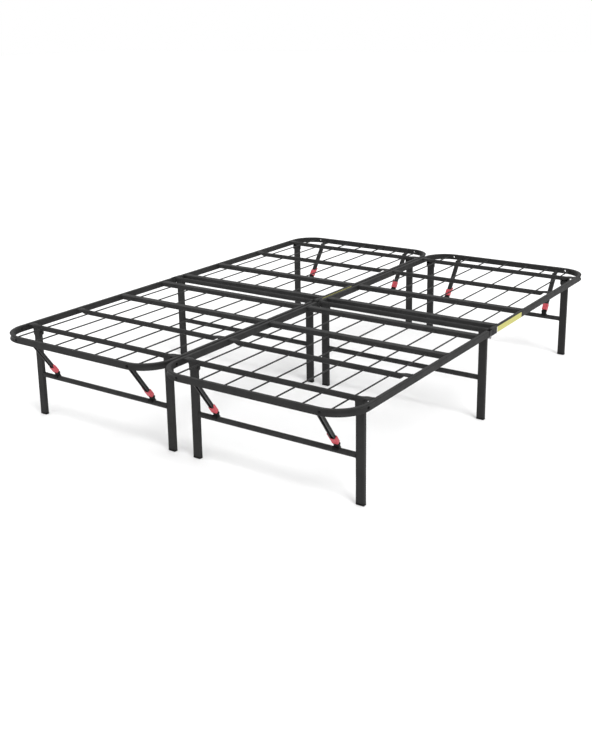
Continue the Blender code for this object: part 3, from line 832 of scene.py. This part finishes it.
def slat_mesh(sides):
    """A flat tube along X, origin at its middle; sides are those with rods."""
    outline = rounded(SLAT_WIDTH, SLAT_HEIGHT, SLAT_EDGE, 5)
    shape = bmesh.new()
    bar(shape, (-CROSS_REACH, 0, 0), (CROSS_REACH, 0, 0), outline, Z_AXIS)
    end_welds(shape, rounded(SLAT_WIDTH, SLAT_HEIGHT, SLAT_EDGE, 5, 8), CROSS_REACH)
    rise = TUBE_Z - (BED_HEIGHT - SLAT_HEIGHT / 2)
    collars(shape, SLAT_WIDTH / 2, rise, sides)
    return solid(shape)


def rim_inner_y(x):
    """How far along Y the rim's inner face is at a distance from the unit's middle."""
    into_bend = max(0.0, abs(x) - (RAIL_OUTER_X - RIM_CORNER_RADIUS))
    inner_radius = RIM_CORNER_RADIUS - RIM_WIDTH
    return END_Y - RIM_CORNER_RADIUS + math.sqrt(inner_radius ** 2 - into_bend ** 2)


def rod_mesh(start_y, end_y, end):
    """A long rod with a small weld at the rim; origin on its axis, level with the fold."""
    shape = bmesh.new()
    bar(shape, (0, start_y, 0), (0, end_y, 0), circle(ROD_RADIUS, 14), Z_AXIS)
    collar(shape, (0, end_y, 0), Y_AXIS * -end)
    return solid(shape)


def build_deck(unit, half, unit_x, tube_y, slats_y, end):
    """A round cross tube, two slats and the rods; the last slat is the one next to the fold."""
    node = f"{unit}_{half}_deck"
    place = Matrix.Translation((unit_x, tube_y, TUBE_Z))
    piece(node + "_tube", shared("deck_tube", deck_tube_mesh), place, STEEL, node, True)
    for number, y in enumerate(slats_y, 1):
        sides = (-1, 1) if number == 1 else (end,)
        mesh = shared(("slat", sides), lambda: slat_mesh(sides))
        place = Matrix.Translation((unit_x, y, BED_HEIGHT - SLAT_HEIGHT / 2))
        piece(f"{node}_slat_{number}", mesh, place, STEEL, node)
    for index in range(ROD_COUNT):
        finish_y = end * rim_inner_y(rod_x(index))
        key = ("rod", half, abs(index - ROD_COUNT // 2))
        mesh = shared(key, lambda: rod_mesh(slats_y[-1], finish_y, end))
        place = Matrix.Translation((unit_x + rod_x(index), 0, TUBE_Z))
        piece(f"{node}_rod_{index + 1}", mesh, place, STEEL, node)


# ---- legs ---------------------------------------------------------------------------------------

def channel(half, web, free, wall, bend):
    """A U section across local x, its web at y = web and its free edges at y = free."""
    inner = max(bend - wall, 0.0004)
    points = [(-half, free)]
    points += arc((-half + bend, web + bend), bend, 180, 270, 4)
    points += arc((half - bend, web + bend), bend, 270, 360, 4)
    points += [(half, free), (half - wall, free)]
    points += arc((half - wall - inner, web + wall + inner), inner, 360, 270, 3)
    points += arc((-half + wall + inner, web + wall + inner), inner, 270, 180, 3)
    points += [(-half + wall, free)]
    return points


def bracket_mesh():
    """A folded channel round a leg's top, open toward +Y, its origin on the tube's axis in plan."""
    half = LEG_WIDTH / 2 + SLIP + PLATE
    web = -(LEG_DEPTH / 2 + SLIP + PLATE)
    top = TUBE_Z + TUBE_RADIUS * BRACKET_TOP_SHARE
    shape = bmesh.new()
    rings = []
    for step in range(BRACKET_CORNER_STEPS + 1):
        rise = BRACKET_CORNER * step / BRACKET_CORNER_STEPS
        back = BRACKET_CORNER - math.sqrt(BRACKET_CORNER ** 2 - (BRACKET_CORNER - rise) ** 2)
        section = channel(half, web, web + BRACKET_DEPTH - back, PLATE, BRACKET_BEND)
        rings.append(ring(section, (0, 0, BRACKET_LOW_Z + rise), X_AXIS, Y_AXIS))
    section = channel(half, web, web + BRACKET_DEPTH, PLATE, BRACKET_BEND)
    for height in (LEG_PIVOT_Z + LEG_DEPTH / 2 + 0.001, top - 0.002):
        rings.append(ring(section, (0, 0, height), X_AXIS, Y_AXIS))
    narrow = channel(half, web, web + BRACKET_DEPTH - BRACKET_TOP_BACK, PLATE, BRACKET_BEND)
    rings.append(ring(narrow, (0, 0, top), X_AXIS, Y_AXIS))
    loft(shape, rings)
    welds = bmesh.new()
    for side in (-1, 1):
        x = side * (half - PLATE / 2)
        loop = ring(arc((0, 0), TUBE_RADIUS + 0.0003, 100, 260, 14), (x + side * PLATE / 2, 0, TUBE_Z),
                    Y_AXIS, Z_AXIS)
        bead(welds, loop, X_AXIS, WELD, False)
    return solid(shape, SHEET_EDGE, 2, extras=welds, sharp=50)


def pivot_tube_mesh(reach, run, share, with_rods):
    """The round cross tube over a pair of legs, origin on its axis."""
    shape = bmesh.new()
    cross_tube(shape, reach, run, share)
    end_welds(shape, pressed(share), reach)
    if with_rods:
        collars(shape, TUBE_RADIUS * COLLAR_SEAT, 0)
    return solid(shape)


def leg_mesh():
    """A flat tube with a round top, its origin on the floor under its middle."""
    low = FOOT_HEIGHT - 0.0005
    outline = [(LEG_DEPTH / 2, low)] + arc((0, LEG_PIVOT_Z), LEG_DEPTH / 2, 0, 180, 16)
    outline += [(-LEG_DEPTH / 2, low)]
    shape = bmesh.new()
    plate(shape, outline, side_plane(0), LEG_WIDTH)
    return solid(shape, LEG_EDGE, 4)


def rivet_mesh(reach):
    """A solid rivet along X, domed at both ends."""
    dome = [(0.0, RIVET_HEAD_RADIUS)]
    for angle in (20, 40, 60, 80):
        turn = math.radians(angle)
        dome.append((RIVET_HEAD * math.sin(turn), RIVET_HEAD_RADIUS * math.cos(turn)))
    profile = [(-reach - along, radius) for along, radius in reversed(dome)]
    profile += [(-reach, RIVET_NECK_RADIUS), (reach, RIVET_NECK_RADIUS)]
    profile += [(reach + along, radius) for along, radius in dome]
    shape = bmesh.new()
    turned(shape, (0, 0, 0), X_AXIS, profile, 24)
    return solid(shape, sharp=50)


def cross_bar_mesh(leg_x):
    """A round bar along X between two legs, with its weld beads."""
    reach = leg_x - LEG_WIDTH / 2
    shape = bmesh.new()
    outline = circle(CROSS_BAR_RADIUS, TUBE_SIDES)
    bar(shape, (-reach - 0.001, 0, 0), (reach + 0.001, 0, 0), outline, Z_AXIS)
    for side in (-1, 1):
        loop = ring(circle(CROSS_BAR_RADIUS * 0.99, 26), (side * (reach - 0.0002), 0, 0), Y_AXIS, Z_AXIS)
        bead(shape, loop, X_AXIS, WELD, True)
    return solid(shape)


def foot_mesh():
    """A moulded cap under a leg: chamfered sole with a shallow recess, and a rolled lip."""
    wide, deep = LEG_WIDTH / 2 + FOOT_SKIN, LEG_DEPTH / 2 + FOOT_SKIN
    # Height, and how far the outline is set in there
    levels = ((0.0007, 0.0052), (0.0007, 0.0036), (0.0, 0.0031), (0.0, 0.0016), (0.0009, 0.0004),
              (0.0022, 0.0), (FOOT_HEIGHT - 0.0012, 0.0), (FOOT_HEIGHT - 0.0003, 0.0005),
              (FOOT_HEIGHT, 0.0012))
    rings = []
    for height, inset in levels:
        section = rounded(2 * (wide - inset), 2 * (deep - inset), max(FOOT_CORNER - inset, 0.0008), 5)
        rings.append(ring(section, (0, 0, height), X_AXIS, Y_AXIS))
    shape = bmesh.new()
    loft(shape, rings)
    return solid(shape)


def build_legs(unit, which, unit_x, end):
    """A pivot tube with its brackets, and the leg frame under it; end is 0 at the fold."""
    prefix = f"{unit}_{which}"
    node = prefix + "_legs"
    tube = prefix + "_pivot_tube"
    spots = {}
    for word in ("left", "right"):
        low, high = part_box(f"{prefix}_foot_{word}")
        spots[word] = (low + high) / 2
    y = spots["left"].y
    leg_x = abs(spots["right"].x - spots["left"].x) / 2
    middle = which == "middle"
    reach = MIDDLE_REACH if middle else CROSS_REACH
    run = MIDDLE_PRESSED_RUN if middle else PRESSED_RUN
    share = MIDDLE_PRESSED_SHARE if middle else 1.0
    mesh = shared(("pivot_tube", middle), lambda: pivot_tube_mesh(reach, run, share, not middle))
    piece(tube + "_bar", mesh, Matrix.Translation((unit_x, y, TUBE_Z)), STEEL, tube, True)
    turn = Matrix.Rotation(math.pi if end > 0 and not middle else 0.0, 4, "Z")
    mesh = shared(("cross_bar", middle), lambda: cross_bar_mesh(leg_x))
    piece(prefix + "_cross_bar", mesh, Matrix.Translation((unit_x, y, CROSS_BAR_Z)), STEEL, node, True)
    rivet_reach = LEG_WIDTH / 2 + SLIP + PLATE + 0.0002
    for word, spot in spots.items():
        ground = Matrix.Translation((spot.x, y, 0))
        piece(f"{prefix}_leg_{word}", shared("leg", leg_mesh), ground, STEEL, node)
        piece(f"{prefix}_bracket_{word}", shared("bracket", bracket_mesh), ground @ turn, STEEL, tube)
        axle = Matrix.Translation((spot.x, y, LEG_PIVOT_Z))
        piece(f"{prefix}_rivet_{word}", shared("rivet", lambda: rivet_mesh(rivet_reach)), axle, STEEL, node)
        foot = f"{prefix}_foot_{word}"
        piece(foot + "_cap", shared("foot", foot_mesh), ground, BLACK, foot, True)


# ---- braces -------------------------------------------------------------------------------------

def brace_place(x, end):
    """Local x runs down the brace, local y faces out and down, local z is along X."""
    along = Vector((0, -end * math.sin(BRACE_LEAN), -math.cos(BRACE_LEAN)))
    out = Vector((0, end * math.cos(BRACE_LEAN), -math.sin(BRACE_LEAN)))
    place = Matrix((along, out, along.cross(out))).transposed().to_4x4()
    place.translation = (x, end * BRACE_PIVOT_Y, BRACE_PIVOT_Z)
    return place


def brace_mesh():
    """A pressed channel: round ears at the pivot and folded edges."""
    shape = bmesh.new()
    rings = []
    for angle in (80, 65, 50, 35, 20, 0):
        turn = math.radians(angle)
        rise = BRACE_DEEP * math.cos(turn)
        section = channel(BRACE_HALF, -rise, rise, BRACE_WALL, min(BRACE_BEND, 0.6 * rise))
        rings.append(ring(section, (-BRACE_DEEP * math.sin(turn), 0, 0), Z_AXIS, Y_AXIS))
    section = channel(BRACE_HALF, -BRACE_DEEP, BRACE_DEEP, BRACE_WALL, BRACE_BEND)
    for along in (0.010, 0.024, BRACE_END):
        rings.append(ring(section, (along, 0, 0), Z_AXIS, Y_AXIS))
    loft(shape, rings)
    inside = BRACE_HALF - BRACE_WALL + 0.00005
    slot = bmesh.new()
    bar(slot, (-0.05, 0, 0), (0.021, 0, 0), rounded(2 * inside, 0.1, 0.0001, 1), Y_AXIS)
    extras = bmesh.new()
    for side in (-1, 1):
        profile = [(-0.001, 0.0044), (0.0, 0.0044), (0.0007, 0.0040), (0.0012, 0.0028), (0.0014, 0.0008)]
        turned(extras, (0, 0, side * BRACE_HALF), Z_AXIS * side, profile, 20)
    bar(extras, (0, 0, -BRACE_HALF), (0, 0, BRACE_HALF), circle(0.0028, 16), Y_AXIS)
    return solid(shape, SHEET_EDGE, 2, cuts=[slot], extras=extras, sharp=50)


def brace_edge_mesh():
    """The channel's hemmed edges and the stiffening bead in its web, painted paler than the rest as painted
    light against the channel's shade.
    """
    shape = bmesh.new()
    for side in (-1, 1):
        across = side * (BRACE_HALF - HEM_RADIUS + 0.0001)
        level = BRACE_DEEP - HEM_RADIUS + 0.0003
        ends = ((0.012, level, across), (BRACE_END - 0.001, level, across))
        bar(shape, *ends, circle(HEM_RADIUS, 12), Y_AXIS, 0.0006)
    level = -BRACE_DEEP + 0.0035
    bar(shape, (WEB_BEAD_START, level, 0), (WEB_BEAD_END, level, 0),
        rounded(0.0105, 0.006, 0.0024, 5), Y_AXIS, 0.0016)
    return solid(shape)


def hook_mesh():
    """A neck in the channel, a turned knuckle below it, and a saddle over the bar's inner side."""
    shape = bmesh.new()
    bar(shape, (NECK_START, NECK_OUT, 0), (KNUCKLE_AT, NECK_OUT, 0),
        rounded(0.0126, 0.0085, 0.0014, 3), Y_AXIS, 0.0006)
    knuckle = bmesh.new()
    profile = [(0.0, 0.0024), (0.0006, 0.0030), (0.0008, KNUCKLE_RADIUS - 0.0012)]
    profile += [(0.0020, KNUCKLE_RADIUS), (0.0062, KNUCKLE_RADIUS)]
    profile += [(0.0070, KNUCKLE_RADIUS - 0.0008), (0.0082, KNUCKLE_RADIUS - 0.0008)]
    profile = [(along - KNUCKLE_HALF, radius) for along, radius in profile]
    profile += [(-along, radius) for along, radius in reversed(profile)]
    turned(knuckle, (KNUCKLE_AT, 0, 0), Z_AXIS, profile, 36)
    for side in (-1, 1):
        bar(knuckle, (KNUCKLE_AT + 0.001, -0.0032, side * 0.0045), (BAR_AT - 0.008, 0.004, side * 0.0045),
            rounded(0.0022, 0.004, 0.0008, 3), Z_AXIS, 0.0005)
    saddle = bmesh.new()
    centre = (BAR_AT, BAR_OUT)
    seat_radius, lip_radius = CROSS_BAR_RADIUS + SADDLE_GAP, CROSS_BAR_RADIUS + SADDLE_LIP_GAP
    outline = arc(centre, SADDLE_RADIUS, SADDLE_TOP + 1, SADDLE_FOOT - 4, 34)
    outline += arc(centre, lip_radius, SADDLE_FOOT - 6, SADDLE_FOOT - 11, 3)
    outline += arc(centre, seat_radius, SADDLE_FOOT - 13, SADDLE_TOP + 13, 30)
    outline += arc(centre, lip_radius, SADDLE_TOP + 11, SADDLE_TOP + 6, 3)
    plate(saddle, outline, Matrix.Identity(4), 2 * SADDLE_HALF)
    stem = bmesh.new()
    outline = [(KNUCKLE_AT, -0.0034), (BAR_AT - 0.004, -0.0034 + 0.003), (BAR_AT - 0.008, 0.0045)]
    outline += [(BAR_AT - 0.0112, BAR_OUT - 0.003), (KNUCKLE_AT + 0.0015, 0.0046)]
    plate(stem, outline, Matrix.Identity(4), 2 * SADDLE_HALF - 0.0012)
    return solid(shape, 0.0004, 2, extras=joined(knuckle, saddle, stem))


def clip_mesh(mirror):
    """A sleeve with notched edges and a springy thumb lever on its +z side (or -z, mirrored)."""
    outer = rounded(2 * CLIP_HALF, 2 * CLIP_DEEP, 0.0034, 6, 6)
    slim = [(a * 0.93, b * 0.9) for a, b in outer]
    wide = BRACE_HALF + CLIP_SLIP
    deep = BRACE_DEEP + CLIP_SLIP
    inner = rounded(2 * CLIP_HALF, 2 * CLIP_DEEP, 0.002, 6, 6)
    inner = [(a / CLIP_HALF * wide, b / CLIP_DEEP * deep) for a, b in inner]

    def band(section, level):
        """A section in space at a share of the way up the sleeve, its lower edge notched."""
        points = []
        for a, b in section:
            across = max(0.0, 1 - (a / (0.82 * CLIP_HALF)) ** 2)
            notch = CLIP_NOTCH * across * (1.0 if b > 0 else 0.45)
            low = CLIP_LOW + notch
            points.append(Vector((low + (CLIP_HIGH - low) * level, b, a)))
        return points

    rings = [band(slim, 0.0), band(outer, 0.06), band(outer, 0.35), band(outer, 0.7), band(outer, 0.95)]
    rings += [band(slim, 1.0), band(inner, 1.0), band(inner, 0.5), band(inner, 0.0)]
    shape = bmesh.new()
    loft(shape, rings, closed=True)
    extras = bmesh.new()
    lever = []
    for along, rise, half_y, thick in LEVER:
        section = rounded(2 * half_y, thick, thick * 0.42, 4)
        lever.append(ring(section, (along, 0, CLIP_HALF + rise), Y_AXIS, Z_AXIS))
    loft(extras, lever)
    for index in range(CLIP_RIDGES):
        along = 0.134 + index * CLIP_RIDGE_PITCH
        rise = 0.0034 - index * 0.0008 + 0.0011
        bar(extras, (along, -0.0032, CLIP_HALF + rise), (along, 0.0032, CLIP_HALF + rise),
            circle(0.0006, 10), Z_AXIS, 0.0002)
    for side in (-1, 1):
        bar(extras, (CLIP_HIGH - 0.008, side * (CLIP_DEEP - 0.0004), -0.006),
            (CLIP_HIGH - 0.008, side * (CLIP_DEEP - 0.0004), 0.006), circle(0.0011, 12), X_AXIS, 0.0004)
    if mirror:
        for form in (shape, extras):
            bmesh.ops.scale(form, vec=(1, 1, -1), verts=form.verts)
    return solid(shape, extras=extras)


def build_braces(unit, half, unit_x, end):
    """The two braces at an end of a unit, each with its foot and clip."""
    for word, side in SIDES:
        stem = f"{unit}_{half}_{word}"
        place = brace_place(unit_x + side * BRACE_X, end)
        piece(stem + "_brace_channel", shared("brace", brace_mesh), place, STEEL, stem + "_brace", True)
        # The hems and web bead get the paler coat: painted light against the channel's shade
        piece(stem + "_brace_edges", shared("brace_edges", brace_edge_mesh), place, PAINTED_LIGHT_COAT, stem + "_brace")
        piece(stem + "_brace_foot", shared("hook", hook_mesh), place, BLACK, stem + "_hook", True)
        mirror = place.col[2].x * side > 0
        mesh = shared(("clip", mirror), lambda: clip_mesh(mirror))
        piece(stem + "_brace_clip", mesh, place, RED, stem + "_clip", True)


# ---- label --------------------------------------------------------------------------------------

def label_mesh(low, high):
    """A thin film with round corners."""
    size = high - low
    outline = rounded(size.y, size.z, LABEL_CORNER, 5)
    shape = bmesh.new()
    plate(shape, outline, side_plane(0), size.x)
    return solid(shape, LABEL_EDGE, 2)


def build_label(unit):
    """The film in place of its CAD node's box."""
    low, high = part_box(unit + "_label")
    mesh = shared("label", lambda: label_mesh(low, high))
    piece(unit + "_label_film", mesh, Matrix.Translation((low + high) / 2), YELLOW, unit + "_label", True)


# ---- studio -------------------------------------------------------------------------------------

def studio():
    """A white surround, one soft sun and a paper floor."""
    world = bpy.data.worlds.new("studio")
    world.use_nodes = True
    sky = world.node_tree.nodes["Background"]
    sky.inputs["Color"].default_value = (1, 1, 1, 1)
    sky.inputs["Strength"].default_value = SKY_STRENGTH
    bpy.context.scene.world = world
    bpy.context.scene.view_settings.view_transform = "Standard"
    data = bpy.data.lights.new("key", "SUN")
    data.energy = SUN_ENERGY
    data.angle = math.radians(SUN_SPREAD)
    key = bpy.data.objects.new("key", data)
    bpy.context.collection.objects.link(key)
    key.rotation_euler = Vector(SUN_DIRECTION).to_track_quat("-Z", "Y").to_euler()
    mesh = bpy.data.meshes.new("floor")
    shape = bmesh.new()
    bmesh.ops.create_grid(shape, x_segments=1, y_segments=1, size=FLOOR_SIZE)
    shape.to_mesh(mesh)
    shape.free()
    floor = bpy.data.objects.new("floor", mesh)
    bpy.context.collection.objects.link(floor)
    floor.location.z = -FLOOR_DROP
    paper = bpy.data.materials.new("paper")
    paper.use_nodes = True
    shader = paper.node_tree.nodes["Principled BSDF"]
    shader.inputs["Base Color"].default_value = PAPER
    shader.inputs["Roughness"].default_value = PAPER_ROUGHNESS
    mesh.materials.append(paper)


def camera():
    """The photograph's viewpoint."""
    data = bpy.data.cameras.new("camera")
    data.sensor_width = SENSOR_WIDTH
    data.lens = FOCAL_LENGTH * data.sensor_width / PICTURE_HEIGHT
    data.shift_y = CAMERA_SHIFT
    data.clip_start = CAMERA_NEAR
    data.clip_end = CAMERA_FAR
    item = bpy.data.objects.new("camera", data)
    bpy.context.collection.objects.link(item)
    yaw = Matrix.Rotation(math.radians(CAMERA_YAW), 4, "Z")
    pitch = Matrix.Rotation(math.radians(90 - CAMERA_DIP), 4, "X")
    roll = Matrix.Rotation(math.radians(CAMERA_ROLL), 4, "Z")
    item.matrix_world = Matrix.Translation(CAMERA_PLACE) @ yaw @ pitch @ roll
    bpy.context.scene.camera = item


# ---- the bed ------------------------------------------------------------------------------------

def build_unit(unit, side):
    """One bi-fold unit; side is -1 for the left one and 1 for the right one."""
    low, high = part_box(unit + "_near_deck")
    unit_x = (low.x + high.x) / 2
    build_rims(unit, unit_x)
    build_hinge(unit, unit_x, side)
    build_deck(unit, "near", unit_x, NEAR_TUBE_Y, NEAR_SLATS_Y, -1)
    build_deck(unit, "far", unit_x, FAR_TUBE_Y, FAR_SLATS_Y, 1)
    build_legs(unit, "near", unit_x, -1)
    build_legs(unit, "middle", unit_x, 0)
    build_legs(unit, "far", unit_x, 1)
    build_braces(unit, "near", unit_x, -1)
    build_braces(unit, "far", unit_x, 1)
    build_label(unit)


camera()
studio()
build_unit("left", -1)
build_unit("right", 1)
